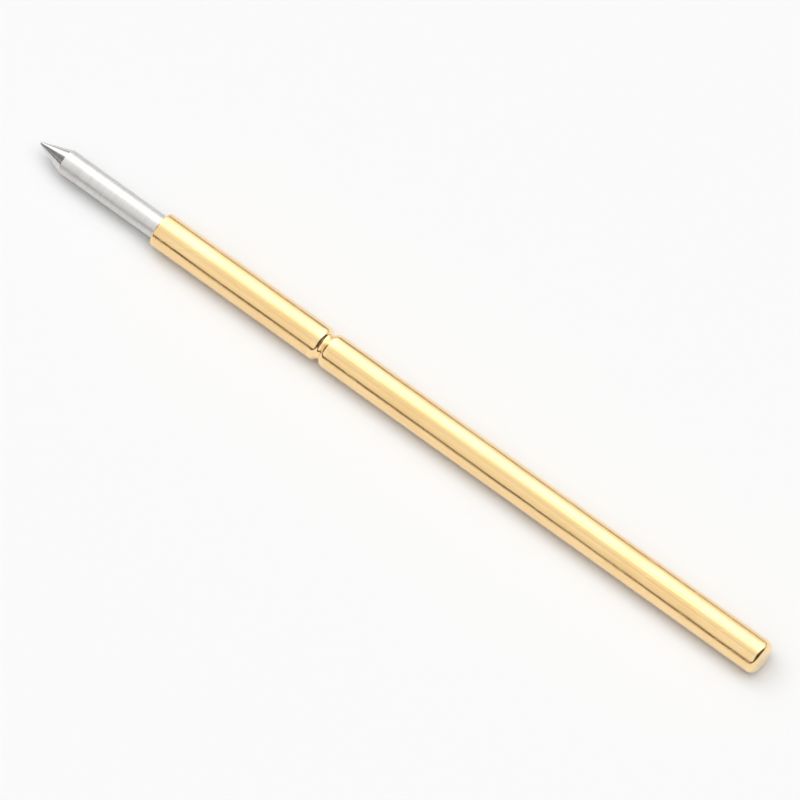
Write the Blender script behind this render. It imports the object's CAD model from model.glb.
"""Dresses the spring-loaded contact probe: barrel, plunger and the coil spring between them."""

import math

import bpy
from bpy.props import FloatProperty, FloatVectorProperty, IntProperty, PointerProperty
from bpy.types import Operator, Panel, PropertyGroup
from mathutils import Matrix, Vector


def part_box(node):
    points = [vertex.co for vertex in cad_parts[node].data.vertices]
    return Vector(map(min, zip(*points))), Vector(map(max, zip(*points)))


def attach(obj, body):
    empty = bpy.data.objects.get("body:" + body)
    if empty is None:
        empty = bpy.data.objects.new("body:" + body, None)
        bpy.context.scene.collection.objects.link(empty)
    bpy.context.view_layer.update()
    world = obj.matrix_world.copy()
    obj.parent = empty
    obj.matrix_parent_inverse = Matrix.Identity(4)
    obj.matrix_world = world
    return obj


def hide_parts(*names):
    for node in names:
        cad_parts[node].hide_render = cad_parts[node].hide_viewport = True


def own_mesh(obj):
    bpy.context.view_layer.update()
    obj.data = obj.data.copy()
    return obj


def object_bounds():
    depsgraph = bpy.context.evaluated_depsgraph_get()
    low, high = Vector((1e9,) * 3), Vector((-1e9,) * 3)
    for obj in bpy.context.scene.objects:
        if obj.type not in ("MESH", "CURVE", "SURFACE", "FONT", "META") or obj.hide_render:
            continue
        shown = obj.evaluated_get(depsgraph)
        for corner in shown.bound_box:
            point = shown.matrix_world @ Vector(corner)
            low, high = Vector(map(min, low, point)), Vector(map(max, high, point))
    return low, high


bl_info = {
    "name": "Spring Contact Probe",
    "version": (1, 0, 0),
    "blender": (4, 5, 0),
    "location": "View3D > Sidebar > Probe",
    "description": "Makes a spring-loaded contact probe: barrel, plunger, spring and the stage they lie on",
    "category": "Add Mesh",
}

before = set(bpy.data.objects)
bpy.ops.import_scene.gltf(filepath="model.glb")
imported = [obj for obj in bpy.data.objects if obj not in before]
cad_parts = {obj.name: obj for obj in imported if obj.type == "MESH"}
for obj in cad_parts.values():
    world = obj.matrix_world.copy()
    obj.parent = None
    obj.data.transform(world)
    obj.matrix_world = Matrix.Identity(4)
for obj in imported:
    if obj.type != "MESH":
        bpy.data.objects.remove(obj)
CAD_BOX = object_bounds()
BARREL_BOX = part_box("barrel")
PLUNGER_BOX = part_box("plunger")
SPRING_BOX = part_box("spring")

MM = 0.001
MICRON = 0.000001
AROUND = 128  # sides of a turned piece
ARC_STEPS = 10  # chords in each small arc of an outline
ROW = 0.25 * MM  # longest row of a straight stretch
GUARD = 0.006 * MM  # a row this close to a bend keeps the shading of the straight stretch true
LONG = 10 * GUARD  # a straight stretch over this length gets rows of its own
ON_AXIS = 1e-9  # a point with a smaller radius than this is a pole
SMOOTH_BELOW = math.radians(28)  # a bend under this angle is shaded smooth
WIRE_SIDES = 10  # sides of the spring's wire
TAIL_FLAT = 0.02 * MM  # the tail's rings are full up to this distance from its face


# ---- settings ----


def length(name, description, default, low=0.0, high=1.0):
    """A length in metres."""
    return FloatProperty(
        name=name, description=description, default=default, min=low, max=high,
        unit="LENGTH", precision=6,
    )


def colour(name, description, default):
    return FloatVectorProperty(
        name=name, description=description, default=default, min=0.0, max=1.0,
        subtype="COLOR", size=3,
    )


def count(name, description, default, low=1):
    return IntProperty(name=name, description=description, default=default, min=low)


def angle(name, description, degrees, low=-360, high=360):
    """An angle, given here in degrees."""
    return FloatProperty(
        name=name, description=description, default=math.radians(degrees),
        min=math.radians(low), max=math.radians(high), unit="ROTATION",
    )


class BarrelSettings(PropertyGroup):
    radius: length("Radius", "Outer radius of the barrel", BARREL_BOX[1].z)
    mouth: length("Length", "Distance from the tail face to the mouth", BARREL_BOX[1].x)
    wall: length("Wall", "Thickness of the drawn wall", 0.08 * MM)
    tail_wall: length("Tail wall", "Thickness of the closed tail", 0.20 * MM)
    tail_corner: length("Tail corner", "Outer corner radius of the tail", 0.14 * MM)
    bottom_corner: length("Bottom corner", "Inner corner radius of the bore", 0.02 * MM)
    rim_round: length("Rim rounding", "Rounding of the rim at the mouth", 0.03 * MM)
    crimp_from_mouth: length("Crimp place", "Distance from the mouth to the crimp", 3.75 * MM)
    crimp_depth: length("Crimp depth", "Depth of the groove", 0.07 * MM)
    crimp_floor: length("Crimp floor radius", "Radius left by the roller's nose", 0.06 * MM)
    crimp_shoulder: length("Crimp shoulder radius", "Outer radius of the groove's shoulders", 0.12 * MM)
    rubbing: FloatProperty(name="Rubbing", description="How bright the edges are rubbed", default=6, min=0)
    gold: colour("Gold", "Reflected colour of the gold plating", (1.0, 0.73, 0.36))
    deep_gold: colour("Deep gold", "Colour of the slightly thicker plating", (0.92, 0.60, 0.25))


class PlungerSettings(PropertyGroup):
    radius: length("Land radius", "Radius of the lands that slide in the bore", PLUNGER_BOX[1].z)
    point: length("Point", "Distance from the tail face to the point", PLUNGER_BOX[1].x)
    waist_radius: length("Waist radius", "Radius where the crimp runs", 0.17 * MM)
    rear_land: length("Rear land", "Length of the land that the crimp stops", 0.95 * MM)
    nose: length("Nose", "Length of the nose that centres the spring", 0.16 * MM)
    nose_radius: length("Nose radius", "Radius of that nose at its root", 0.12 * MM)
    nose_end: length("Nose end", "Radius of that nose's flat end", 0.04 * MM)
    front_land: length("Front land", "Length of the front land inside the barrel", 0.943 * MM)
    edge: length("Edge break", "Break of the turned edges", 0.02 * MM)
    tip_round: length("Tip radius", "Radius of the contact point", 0.03 * MM)
    cone_angle: angle("Cone angle", "Full angle of the contact cone", 40, 10, 170)
    rubbing: FloatProperty(name="Rubbing", description="How bright the edges are rubbed", default=3, min=0)
    nickel: colour("Nickel", "Reflected colour of the nickel plating", (0.72, 0.71, 0.69))
    dull_nickel: colour("Dull nickel", "Colour in the grooves of the turning marks", (0.60, 0.585, 0.565))


class SpringSettings(PropertyGroup):
    wire_radius: length("Wire radius", "Radius of the spring wire", 0.045 * MM)
    turn_gap: length("Turn gap", "Gap between two closed turns", 0.005 * MM)
    open_turns: count("Open turns", "Turns that close up under load", 44)
    closed_turns: count("Closed turns", "Closed turns at each end", 2)
    turn_steps: count("Steps", "Stations of the wire in one turn", 24, 8)
    steel: colour("Steel", "Reflected colour of the drawn wire", (0.58, 0.57, 0.56))
    stained_steel: colour("Stained steel", "Colour of the wire's stains", (0.406, 0.399, 0.392))


class StageSettings(PropertyGroup):
    azimuth: angle("Azimuth", "Turn of the camera round the probe", 218.3)
    elevation: angle("Elevation", "Height of the camera above the horizon", 65, -90, 90)
    distance: length("Distance", "Distance from the probe to the camera", 0.38, 0.1, 2.0)
    framed: length("Framed width", "Width of the view at the probe", 14.2 * MM)
    paper: colour("Floor", "Colour of the pale floor", (0.92, 0.92, 0.92))
    backdrop: colour("Backdrop", "Colour seen past the edge of the floor", (0.955, 0.955, 0.955))


# ---- turned pieces: an outline is a list of (x along the axis, radius) ----


def arc(x, r, radius, start, end, ends=True):
    """Points of an arc round (x, r). Angles are in degrees, from the outward direction towards +X."""
    points = []
    for i in range(ARC_STEPS + 1):
        a = math.radians(start + (end - start) * i / ARC_STEPS)
        points.append((x + radius * math.sin(a), r + radius * math.cos(a)))
    return points if ends else points[1:-1]


def with_rows(points):
    """Adds rows to long straight stretches, and a row close to both ends of each."""
    out = [points[0]]
    for (x0, r0), (x1, r1) in zip(points, points[1:]):
        span = math.hypot(x1 - x0, r1 - r0)
        if span > LONG:
            between = span - 2 * GUARD
            rows = math.ceil(between / ROW)
            shares = [(GUARD + between * i / rows) / span for i in range(rows + 1)]
            out += [(x0 + (x1 - x0) * s, r0 + (r1 - r0) * s) for s in shares]
        out.append((x1, r1))
    return out


def crimp_face(s, turn, dip):
    """One face of the crimped wall. turn and dip are its radii at the shoulders and at the floor."""
    x = s.mouth - s.crimp_from_mouth
    shoulder_r = s.radius - s.crimp_shoulder
    floor_r = s.radius - s.crimp_depth + s.crimp_floor
    reach = s.crimp_floor + s.crimp_shoulder
    half = math.sqrt(reach**2 - (floor_r - shoulder_r) ** 2)
    lean = math.degrees(math.atan2(floor_r - shoulder_r, half))
    return (
        arc(x - half, shoulder_r, turn, 0, 90 - lean)
        + arc(x, floor_r, dip, 270 - lean, 90 + lean, ends=False)
        + arc(x + half, shoulder_r, turn, lean - 90, 0)
    )


def barrel_outline(s):
    """From the tail face along the outside to the mouth, and back along the bore."""
    bore = s.radius - s.wall
    outside = (
        [(0.0, 0.0)]
        + arc(s.tail_corner, s.radius - s.tail_corner, s.tail_corner, -90, 0)
        + crimp_face(s, s.crimp_shoulder, s.crimp_floor)
        + arc(s.mouth - s.rim_round, s.radius - s.rim_round, s.rim_round, 0, 90)
    )
    inside = (
        [(s.mouth, bore)]
        + crimp_face(s, s.crimp_shoulder - s.wall, s.crimp_floor + s.wall)[::-1]
        + arc(s.tail_wall + s.bottom_corner, bore - s.bottom_corner, s.bottom_corner, 0, -90)
        + [(s.tail_wall, 0.0)]
    )
    return with_rows(outside + inside)


def cone_start(s):
    """Where the contact cone begins, so that it runs smoothly into the rounded point."""
    half = s.cone_angle / 2
    point = s.point - s.tip_round
    run = (s.radius - s.tip_round * math.cos(half)) / math.tan(half)
    return point + s.tip_round * math.sin(half) - run


def plunger_outline(s, mouth):
    """From the nose to the point. A 45 degree cone leads from the waist to the front land."""
    front = mouth - s.front_land
    rear_end = PLUNGER_BOX[0].x + s.nose
    rear = rear_end + s.rear_land
    return with_rows(
        [
            (rear_end - s.nose, 0.0),
            (rear_end - s.nose, s.nose_end),
            (rear_end, s.nose_radius),
            (rear_end, s.radius - s.edge),
            (rear_end + s.edge, s.radius),
            (rear - s.edge, s.radius),
            (rear, s.radius - s.edge),
            (rear, s.waist_radius),
            (front - (s.radius - s.waist_radius), s.waist_radius),
            (front, s.radius),
            (cone_start(s), s.radius),
        ]
        + arc(s.point - s.tip_round, 0.0, s.tip_round, math.degrees(s.cone_angle / 2), 90)
    )


def bend_of(points, i):
    """Turning angle of the outline at one point, in radians."""
    if i in (0, len(points) - 1):
        return 0.0
    (xa, ra), (xb, rb), (xc, rc) = points[i - 1 : i + 2]
    turn = math.atan2(rc - rb, xc - xb) - math.atan2(rb - ra, xb - xa)
    return (turn + math.pi) % math.tau - math.pi


def edge_wear(points, rubbing):
    """How bright each point of an outline is rubbed, from 0 to 1: the sharper the bend, the more."""
    return [min(1.0, abs(bend_of(points, i)) * rubbing) for i in range(len(points))]


def new_object(name, data):
    """Puts an object into the scene, at the origin."""
    made = bpy.data.objects.new(name, data)
    bpy.context.scene.collection.objects.link(made)
    return made


def lathe(name, points, wear):
    """Turns an outline round the X axis. wear holds one value for each point, kept as an attribute."""
    verts, rows, values = [], [], []
    for (x, r), worn in zip(points, wear):
        if r < ON_AXIS:
            rows.append([len(verts)] * AROUND)
            verts.append((x, 0.0, 0.0))
            values.append(worn)
            continue
        rows.append(range(len(verts), len(verts) + AROUND))
        values += [worn] * AROUND
        for k in range(AROUND):
            a = math.tau * k / AROUND
            verts.append((x, r * math.cos(a), r * math.sin(a)))
    faces = []
    for low, high in zip(rows, rows[1:]):
        for k in range(AROUND):
            n = (k + 1) % AROUND
            corners = [low[k], low[n], high[n], high[k]]
            faces.append(list(dict.fromkeys(corners)))
    mesh = bpy.data.meshes.new(name)
    mesh.from_pydata(verts, [], faces)
    mesh.shade_smooth()
    mesh.set_sharp_from_angle(angle=SMOOTH_BELOW)
    mesh.attributes.new("edge_wear", "FLOAT", "POINT").data.foreach_set("value", values)
    mesh.update()
    return new_object(name, mesh)


# ---- node helpers ----

MIX_COLOUR_INPUTS = (0, 6, 7)  # the places of the mix node's share and of its two colours
MIX_COLOUR_OUTPUT = 2


class Tree:
    """Adds linked nodes to a node tree with few words."""

    def __init__(self, tree):
        self.tree = tree

    def add(self, kind, settings=None, **inputs):
        """Adds a node. inputs are its sockets by name, with _ for a space."""
        node = self.tree.nodes.new(kind)
        for key, value in (settings or {}).items():
            setattr(node, key, value)
        for key, value in inputs.items():
            self.put(node.inputs[key.replace("_", " ")], value)
        return node

    def put(self, socket, value):
        """Links a socket to another node's output, or gives it a value."""
        if isinstance(value, bpy.types.NodeSocket):
            self.tree.links.new(value, socket)
        else:
            socket.default_value = value

    def math(self, operation, a, b=0.0, clamp=False):
        """Adds a sum of one or two values. clamp keeps the result from 0 to 1."""
        node = self.tree.nodes.new("ShaderNodeMath")
        node.operation = operation
        node.use_clamp = clamp
        self.put(node.inputs[0], a)
        self.put(node.inputs[1], b)
        return node.outputs[0]

    def plus(self, a, b):
        return self.math("ADD", a, b)

    def minus(self, a, b):
        return self.math("SUBTRACT", a, b)

    def times(self, a, b):
        return self.math("MULTIPLY", a, b)

    def most(self, a, b):
        return self.math("MAXIMUM", a, b)

    def opposite(self, share):
        return self.minus(1.0, share)

    def noise(self, at, cells, detail=3.0, roughness=0.5):
        """Noise from 0 to 1. cells gives its cells a millimetre along X, Y and Z."""
        per_metre = [number / MM for number in cells]
        place = self.add("ShaderNodeMapping", Vector=at, Scale=per_metre)
        noise = self.add(
            "ShaderNodeTexNoise", Vector=place.outputs[0], Scale=1.0, Detail=detail, Roughness=roughness
        )
        return noise.outputs["Fac"]

    def remap(self, value, low, high, to_low, to_high):
        """Leads a value smoothly from to_low at low to to_high at high, and keeps it level outside them."""
        node = self.add(
            "ShaderNodeMapRange", {"interpolation_type": "SMOOTHSTEP"},
            Value=value, From_Min=low, From_Max=high, To_Min=to_low, To_Max=to_high,
        )
        return node.outputs[0]

    def unrolled(self, place, radius):
        """A round piece's surface laid flat: X along the axis, Y round it, with the seam underneath."""
        turn = self.math("ARCTAN2", place["Y"], place["Z"])
        return self.add("ShaderNodeCombineXYZ", X=place["X"], Y=self.times(turn, radius)).outputs[0]

    def along_and_out(self, place):
        """X along the axis, and Y the distance from it, so that a pattern on it makes rings."""
        off_axis = self.add("ShaderNodeVectorMath", {"operation": "LENGTH"})
        radial = self.add("ShaderNodeCombineXYZ", Y=place["Y"], Z=place["Z"]).outputs[0]
        self.put(off_axis.inputs[0], radial)
        return self.add("ShaderNodeCombineXYZ", X=place["X"], Y=off_axis.outputs["Value"]).outputs[0]

    def hairlines(self, flat, tilt, width):
        """Thin straight scratches on the unrolled surface: 1 on a line and 0 away from it.

        tilt turns them, in radians, and a larger width makes them wider.
        """
        turned = self.add("ShaderNodeMapping", Vector=flat, Rotation=(0.0, 0.0, tilt)).outputs[0]
        bands = self.noise(turned, (0.10, 6.0, 1.0), detail=0.0)
        off_middle = self.math("ABSOLUTE", self.minus(bands, 0.5))
        breaks = self.remap(self.noise(turned, (1.6, 5.0, 1.0), detail=1.0), 0.52, 0.60, 0.0, 1.0)
        return self.times(self.remap(off_middle, 0.0, width, 1.0, 0.0), breaks)

    def mix(self, share, a, b):
        """Mixes two colours. The node has sockets of the same names for each kind of value."""
        node = self.tree.nodes.new("ShaderNodeMix")
        node.data_type = "RGBA"
        for key, value in zip(MIX_COLOUR_INPUTS, (share, a, b)):
            self.put(node.inputs[key], value)
        return node.outputs[MIX_COLOUR_OUTPUT]

    def shader_mix(self, share, a, b):
        node = self.tree.nodes.new("ShaderNodeMixShader")
        for socket, value in zip(node.inputs, (share, a, b)):
            self.put(socket, value)
        return node.outputs[0]

    def bump(self, height, depth, normal=None):
        """depth is the height of a full step, in metres."""
        node = self.add("ShaderNodeBump", Strength=1.0, Distance=depth, Height=height)
        if normal:
            self.tree.links.new(normal, node.inputs["Normal"])
        return node.outputs[0]


def rgba(values):
    return (*values, 1.0)


def new_material(name):
    material = bpy.data.materials.new(name)
    material.use_nodes = True
    material.node_tree.nodes.clear()
    return material, Tree(material.node_tree)


# ---- finishes ----

FILM_ROUGHNESS = 0.12  # of the clear film of contact oil


def finish_metal(t, base, roughness, normal, film=0.0):
    """film is the share of the surface under a thin clear film of contact oil."""
    shader = t.add(
        "ShaderNodeBsdfPrincipled", Base_Color=base, Metallic=1.0, Roughness=roughness, Normal=normal,
        Coat_Weight=film, Coat_Roughness=FILM_ROUGHNESS,
    )
    t.add("ShaderNodeOutputMaterial", Surface=shader.outputs[0])


def surface(t):
    """What a finish reads from its piece: the point, its X, Y and Z, and how bright it is rubbed."""
    at = t.add("ShaderNodeTexCoord").outputs["Object"]
    place = t.add("ShaderNodeSeparateXYZ", Vector=at).outputs
    worn = t.add("ShaderNodeAttribute", {"attribute_name": "edge_wear"}).outputs["Fac"]
    return at, place, worn


def ringed_places(t, place, s):
    """1 where a tool has left rings, in the crimp, on the tail and on the rim, and 0 elsewhere."""
    from_crimp = t.math("ABSOLUTE", t.minus(place["X"], s.mouth - s.crimp_from_mouth))
    in_crimp = t.remap(from_crimp, s.crimp_shoulder, s.crimp_shoulder + s.wall, 1.0, 0.0)
    on_tail = t.remap(place["X"], TAIL_FLAT, s.tail_corner, 1.0, 0.0)
    on_rim = t.remap(place["X"], s.mouth - s.rim_round, s.mouth - 0.2 * s.rim_round, 0.0, 1.0)
    return t.most(t.most(in_crimp, on_tail), on_rim)


def gold_plating(s):
    """Bright plating over a drawn tube, under a thin clear film of contact oil.

    Fine lines run along the axis, the plating is thin and thick in patches, and handling has left
    hairlines. Tools have left rings in the crimp, on the tail and on the rim. The edges are rubbed bright.
    """
    material, t = new_material("gold_plating")
    at, place, worn = surface(t)
    ringed = ringed_places(t, place, s)
    rings = t.times(t.noise(t.along_and_out(place), (40.0, 40.0, 1.0), detail=2.0), ringed)
    straight = t.opposite(ringed)
    drawn = t.times(t.noise(at, (0.10, 26.0, 26.0), detail=3.0, roughness=0.6), straight)
    fine_lines = t.times(t.noise(at, (0.3, 50.0, 50.0), detail=2.0), straight)
    ripple = t.noise(at, (0.6, 1.4, 1.4), detail=1.0)
    patches = t.noise(at, (1.1, 1.8, 1.8), detail=5.0, roughness=0.6)
    grain = t.noise(at, (30.0, 30.0, 30.0), detail=2.0)
    flat = t.unrolled(place, s.radius)
    scratched = t.most(t.hairlines(flat, 0.16, 0.012), t.hairlines(flat, -0.35, 0.008))

    thick = t.plus(t.remap(patches, 0.35, 0.7, 0.0, 0.4), t.remap(drawn, 0.38, 0.64, 0.0, 0.6))
    plated = t.mix(thick, rgba(s.gold), rgba(s.deep_gold))
    base = t.mix(t.times(worn, 0.35), plated, rgba(s.gold))

    rough = t.remap(patches, 0.3, 0.75, 0.13, 0.19)
    rough = t.plus(rough, t.remap(fine_lines, 0.35, 0.75, 0.0, 0.08))
    rough = t.plus(rough, t.times(scratched, 0.10))
    rough = t.minus(rough, t.times(worn, 0.03))

    normal = None
    for height, depth in (
        (ripple, 14.0 * MICRON),
        (drawn, 2.4 * MICRON),
        (fine_lines, 0.8 * MICRON),
        (t.opposite(scratched), 0.8 * MICRON),
        (rings, 1.4 * MICRON),
        (grain, 0.25 * MICRON),
    ):
        normal = t.bump(height, depth, normal)
    finish_metal(t, base, rough, normal, film=1.0)
    return material


def nickel_plating(s):
    """Satin plating over a turned pin.

    The tool has left close rings, sliding has left hairlines, and the cone is polished.
    """
    material, t = new_material("nickel_plating")
    at, place, worn = surface(t)
    rings = t.noise(at, (30.0, 0.2, 0.2), detail=3.0, roughness=0.6)
    broad_rings = t.noise(at, (6.0, 0.3, 0.3), detail=1.0)
    patches = t.noise(at, (1.6, 1.6, 1.6), detail=4.0, roughness=0.6)
    cone = cone_start(s)
    on_cone = t.remap(place["X"], cone - s.edge, cone + s.edge, 0.0, 1.0)
    slid = t.times(t.hairlines(t.unrolled(place, s.radius), 0.0, 0.012), t.opposite(on_cone))

    dull = t.plus(t.remap(rings, 0.35, 0.7, 0.0, 0.6), t.remap(broad_rings, 0.4, 0.7, 0.0, 0.3))
    base = t.mix(t.times(dull, t.opposite(worn)), rgba(s.nickel), rgba(s.dull_nickel))

    rough = t.minus(t.remap(patches, 0.3, 0.7, 0.38, 0.46), t.times(on_cone, 0.26))
    rough = t.minus(rough, t.times(t.most(slid, worn), 0.06))

    normal = t.bump(rings, 0.8 * MICRON)
    normal = t.bump(t.opposite(slid), 0.6 * MICRON, normal)
    finish_metal(t, base, rough, normal)
    return material


def spring_steel(s):
    """Drawn wire, a little dull, with darker stains."""
    material, t = new_material("spring_steel")
    at = t.add("ShaderNodeTexCoord").outputs["Object"]
    stain = t.noise(at, (3.0, 3.0, 3.0), detail=4.0)
    grain = t.noise(at, (40.0, 40.0, 40.0), detail=2.0)
    base = t.mix(t.remap(stain, 0.35, 0.7, 0.0, 1.0), rgba(s.steel), rgba(s.stained_steel))
    rough = t.remap(grain, 0.3, 0.7, 0.22, 0.34)
    finish_metal(t, base, rough, t.bump(grain, 0.4 * MICRON))
    return material


def pale_paper(s):
    """Matt pale floor."""
    material, t = new_material("pale_paper")
    shader = t.add("ShaderNodeBsdfDiffuse", Color=rgba(s.paper))
    t.add("ShaderNodeOutputMaterial", Surface=shader.outputs[0])
    return material


def dress(piece, material, body, node):
    """Gives a piece its finish, its body and the solid that it stands for."""
    piece.data.materials.clear()
    piece.data.materials.append(material)
    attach(piece, body)
    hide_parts(node)


# ---- spring ----


def coil_tree():
    """Geometry nodes that wind a spring along +X: closed turns, open turns and closed turns again."""
    tree = bpy.data.node_groups.new("closed_end_coil", "GeometryNodeTree")
    face = tree.interface
    for name, kind in (
        ("Open Turns", "NodeSocketInt"),
        ("Closed Turns", "NodeSocketInt"),
        ("Steps", "NodeSocketInt"),
        ("Wire Radius", "NodeSocketFloat"),
        ("Coil Radius", "NodeSocketFloat"),
        ("Start", "NodeSocketFloat"),
        ("Closed Pitch", "NodeSocketFloat"),
        ("Open Pitch", "NodeSocketFloat"),
        ("Material", "NodeSocketMaterial"),
    ):
        face.new_socket(name, in_out="INPUT", socket_type=kind)
    face.new_socket("Geometry", in_out="OUTPUT", socket_type="NodeSocketGeometry")
    t = Tree(tree)
    given = tree.nodes.new("NodeGroupInput").outputs
    opened, closed = given["Open Turns"], given["Closed Turns"]
    turns = t.plus(opened, t.times(closed, 2.0))
    stations = t.plus(t.times(turns, given["Steps"]), 1.0)
    line = t.add("GeometryNodeMeshLine", Count=stations)
    index = tree.nodes.new("GeometryNodeInputIndex").outputs[0]
    turn = t.math("DIVIDE", index, given["Steps"])
    sweep = t.times(turn, math.tau)
    past_first = t.most(t.minus(turn, closed), 0.0)
    past_open = t.most(t.minus(past_first, opened), 0.0)
    shut = t.plus(t.math("MINIMUM", turn, closed), past_open)
    free = t.math("MINIMUM", past_first, opened)
    rise = t.plus(t.times(shut, given["Closed Pitch"]), t.times(free, given["Open Pitch"]))
    station = t.add(
        "ShaderNodeCombineXYZ",
        X=t.plus(given["Start"], rise),
        Y=t.times(given["Coil Radius"], t.math("COSINE", sweep)),
        Z=t.times(given["Coil Radius"], t.math("SINE", sweep)),
    )
    placed = t.add("GeometryNodeSetPosition", Geometry=line.outputs[0], Position=station.outputs[0])
    path = t.add("GeometryNodeMeshToCurve", Mesh=placed.outputs[0])
    section = t.add(
        "GeometryNodeCurvePrimitiveCircle", Resolution=WIRE_SIDES, Radius=given["Wire Radius"]
    )
    wire = t.add(
        "GeometryNodeCurveToMesh", Curve=path.outputs[0], Profile_Curve=section.outputs[0], Fill_Caps=True
    )
    smooth = t.add("GeometryNodeSetShadeSmooth", Geometry=wire.outputs[0])
    solid = t.add("GeometryNodeRealizeInstances", Geometry=smooth.outputs[0])
    painted = t.add("GeometryNodeSetMaterial", Geometry=solid.outputs[0], Material=given["Material"])
    t.add("NodeGroupOutput", Geometry=painted.outputs[0])
    return tree


def run_tree(name, tree, values):
    """Runs a geometry tree on an empty mesh and gives its result as a plain mesh object."""
    piece = new_object(name, bpy.data.meshes.new(name))
    modifier = piece.modifiers.new("nodes", "NODES")
    modifier.node_group = tree
    for item in tree.interface.items_tree:
        if item.in_out == "INPUT":
            modifier[item.identifier] = values[item.name]
    graph = bpy.context.evaluated_depsgraph_get()
    graph.update()
    made = bpy.data.meshes.new_from_object(piece.evaluated_get(graph), depsgraph=graph)
    piece.modifiers.clear()
    piece.data = made
    made.name = name
    return piece


# ---- operators ----


class PROBE_OT_barrel(Operator):
    """Makes the drawn barrel with its roll crimp and closed tail"""

    bl_idname = "probe.barrel"
    bl_label = "Barrel"

    def execute(self, context):
        s = context.scene.probe_barrel
        points = barrel_outline(s)
        piece = lathe("gold_barrel", points, edge_wear(points, s.rubbing))
        dress(piece, gold_plating(s), "barrel", "barrel")
        return {"FINISHED"}


class PROBE_OT_plunger(Operator):
    """Makes the turned plunger: nose, rear land, waist, front land, cone and point"""

    bl_idname = "probe.plunger"
    bl_label = "Plunger"

    def execute(self, context):
        s = context.scene.probe_plunger
        points = plunger_outline(s, context.scene.probe_barrel.mouth)
        piece = lathe("nickel_plunger", points, edge_wear(points, s.rubbing))
        dress(piece, nickel_plating(s), "plunger", "plunger")
        return {"FINISHED"}


class PROBE_OT_spring(Operator):
    """Winds the coil spring between the barrel's bottom and the plunger"""

    bl_idname = "probe.spring"
    bl_label = "Spring"

    def execute(self, context):
        s = context.scene.probe_spring
        low, high = SPRING_BOX
        start, end = low.x + s.wire_radius, high.x - s.wire_radius
        closed_pitch = 2 * s.wire_radius + s.turn_gap
        open_pitch = (end - start - 2 * s.closed_turns * closed_pitch) / s.open_turns
        values = {
            "Open Turns": s.open_turns,
            "Closed Turns": s.closed_turns,
            "Steps": s.turn_steps,
            "Wire Radius": s.wire_radius,
            "Coil Radius": high.z - s.wire_radius,
            "Start": start,
            "Closed Pitch": closed_pitch,
            "Open Pitch": open_pitch,
            "Material": spring_steel(s),
        }
        piece = run_tree("coil_spring", coil_tree(), values)
        dress(piece, piece.data.materials[0], "barrel", "spring")
        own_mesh(piece)
        return {"FINISHED"}


class PROBE_OT_stage(Operator):
    """Lays the floor, the studio light and the camera"""

    bl_idname = "probe.stage"
    bl_label = "Stage"

    def execute(self, context):
        s = context.scene.probe_stage
        lay_floor(s)
        light_studio(s)
        aim_camera(s)
        context.scene.view_settings.view_transform = "Standard"
        return {"FINISHED"}


# ---- stage ----

FLOOR_HALF = 1.5  # half the side of the floor
NEAREST = 0.05  # the camera sees from this share of its distance
FARTHEST = 10.0  # to here
DUSK = (0.100, 0.045, 0.025)  # the warm dark room past the edge of the floor
# Brightness round the probe, by the angle in the plane across it, in degrees: 0 is the horizon
# on the camera's side, 90 is straight up and 180 is the far horizon.
WALLS = (  # as the metal mirrors them
    (0, DUSK), (12, DUSK),
    (17, 0.90), (44, 0.98), (66, 0.85), (77, 0.93),  # the near wall
    (88, 1.12), (97, 1.50), (106, 1.95), (114, 2.15), (130, 2.15), (140, 1.85), (150, 1.45),  # the soft box
    (164, 1.15), (172, 0.85),  # the far wall
    (175, DUSK), (180, DUSK),
)
LIGHT = (  # as it falls on matt surfaces
    (0, 0.22), (50, 0.54), (72, 1.35), (84, 2.32), (110, 2.32), (122, 0.90), (140, 0.36), (180, 0.18),
)
# The studio's end walls: the side along X, where each begins and is full, how bright it is, and
# how much of the soft box the metal mirrors on it.
ENDS = ((1, 0.75, 0.85, 0.12, 0.7), (-1, 0.62, 0.78, 0.06, 0.0))
BOX_EDGE = (98, 122)  # the angles between which the soft box comes in on an end wall


def lay_floor(s):
    """Lays a square floor under the probe's lowest point."""
    mesh = bpy.data.meshes.new("floor")
    z = CAD_BOX[0].z
    h = FLOOR_HALF
    mesh.from_pydata([(-h, -h, z), (h, -h, z), (h, h, z), (-h, h, z)], [], [(0, 1, 2, 3)])
    mesh.materials.append(pale_paper(s))
    new_object("floor", mesh)


def end_walls(t, along, share):
    """How much the end walls leave of the brightness: of the light, and of what the metal mirrors."""
    in_box = t.remap(share, BOX_EDGE[0] / 180, BOX_EDGE[1] / 180, 0.0, 1.0)
    of_light, of_mirrored = 1.0, 1.0
    for side, start, full, level, reach in ENDS:
        wall = t.remap(t.times(along, side), start, full, 1.0, level)
        boxed = t.times(t.times(in_box, reach), t.opposite(wall))
        of_light = t.times(wall, of_light)
        of_mirrored = t.times(t.plus(wall, boxed), of_mirrored)
    return of_light, of_mirrored


def studio_level(t, share, kept, stops):
    """A background that follows the stops, times kept. share is the angle's share of 180 degrees."""
    ramp = t.tree.nodes.new("ShaderNodeValToRGB")
    top = max(level for _, level in stops if level is not DUSK)
    elements = ramp.color_ramp.elements
    for degrees, _ in stops[1:-1]:
        elements.new(degrees / 180)
    for element, (_, level) in zip(elements, stops):
        shade = level if level is DUSK else (level,) * 3
        element.color = rgba(c / top for c in shade)
    t.tree.links.new(share, ramp.inputs[0])
    return t.add("ShaderNodeBackground", Color=ramp.outputs[0], Strength=t.times(kept, top)).outputs[0]


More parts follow.
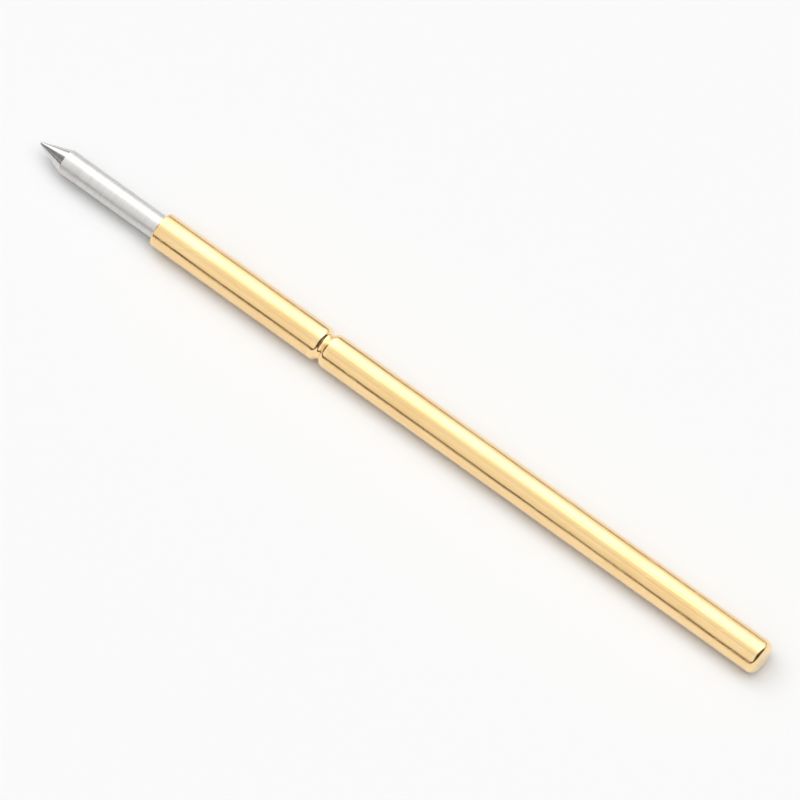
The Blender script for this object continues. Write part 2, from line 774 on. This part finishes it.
def light_studio(s):
    """A plain studio: a soft box above, calm walls, a dark line at the horizon and dark ends.

    The metal mirrors the walls, matt surfaces take the light, and the camera sees a plain backdrop.
    """
    world = bpy.data.worlds.new("studio")
    bpy.context.scene.world = world
    world.use_nodes = True
    world.node_tree.nodes.clear()
    t = Tree(world.node_tree)
    way = t.add("ShaderNodeSeparateXYZ", Vector=t.add("ShaderNodeTexCoord").outputs["Generated"]).outputs
    rays = t.add("ShaderNodeLightPath").outputs
    share = t.math("DIVIDE", t.math("ARCTAN2", way["Z"], way["Y"]), math.pi, clamp=True)
    of_light, of_mirrored = end_walls(t, way["X"], share)
    walls = studio_level(t, share, of_mirrored, WALLS)
    light = studio_level(t, share, of_light, LIGHT)
    plain = t.add("ShaderNodeBackground", Color=rgba(s.backdrop), Strength=1.0).outputs[0]
    before_matt = t.math("LESS_THAN", rays["Diffuse Depth"], 0.5)
    lit = t.shader_mix(t.times(rays["Is Glossy Ray"], before_matt), light, walls)
    t.add("ShaderNodeOutputWorld", Surface=t.shader_mix(rays["Is Camera Ray"], lit, plain))


def aim_camera(s):
    """Looks at the middle of the probe. Azimuth 0 looks along +Y, and 90 along -X."""
    data = bpy.data.cameras.new("camera")
    camera = new_object("camera", data)
    bpy.context.scene.camera = camera
    flat = math.cos(s.elevation)
    back = Vector((math.sin(s.azimuth) * flat, -math.cos(s.azimuth) * flat, math.sin(s.elevation)))
    camera.location = (CAD_BOX[0] + CAD_BOX[1]) / 2 + back * s.distance
    camera.rotation_euler = (-back).to_track_quat("-Z", "Y").to_euler()
    data.lens = data.sensor_width * s.distance / s.framed
    data.clip_start = s.distance * NEAREST
    data.clip_end = FARTHEST


# ---- panel ----


class PROBE_PT_panel(Panel):
    """Lists the steps and their settings"""

    bl_label = "Contact Probe"
    bl_idname = "PROBE_PT_panel"
    bl_space_type = "VIEW_3D"
    bl_region_type = "UI"
    bl_category = "Probe"

    def draw(self, context):
        for operator, settings in STEPS:
            box = self.layout.box()
            box.operator(operator.bl_idname)
            group = getattr(context.scene, settings)
            for name in group.bl_rna.properties.keys():
                if name not in {"rna_type", "name"}:
                    box.prop(group, name)


STEPS = (
    (PROBE_OT_barrel, "probe_barrel"),
    (PROBE_OT_plunger, "probe_plunger"),
    (PROBE_OT_spring, "probe_spring"),
    (PROBE_OT_stage, "probe_stage"),
)
SETTINGS = {
    "probe_barrel": BarrelSettings,
    "probe_plunger": PlungerSettings,
    "probe_spring": SpringSettings,
    "probe_stage": StageSettings,
}


def register():
    for name, group in SETTINGS.items():
        bpy.utils.register_class(group)
        setattr(bpy.types.Scene, name, PointerProperty(type=group))
    for operator, _ in STEPS:
        bpy.utils.register_class(operator)
    bpy.utils.register_class(PROBE_PT_panel)


def unregister():
    bpy.utils.unregister_class(PROBE_PT_panel)
    for operator, _ in STEPS:
        bpy.utils.unregister_class(operator)
    for name, group in SETTINGS.items():
        delattr(bpy.types.Scene, name)
        bpy.utils.unregister_class(group)


def main():
    register()
    bpy.ops.probe.barrel()
    bpy.ops.probe.plunger()
    bpy.ops.probe.spring()
    bpy.ops.probe.stage()


if __name__ == "__main__":
    main()
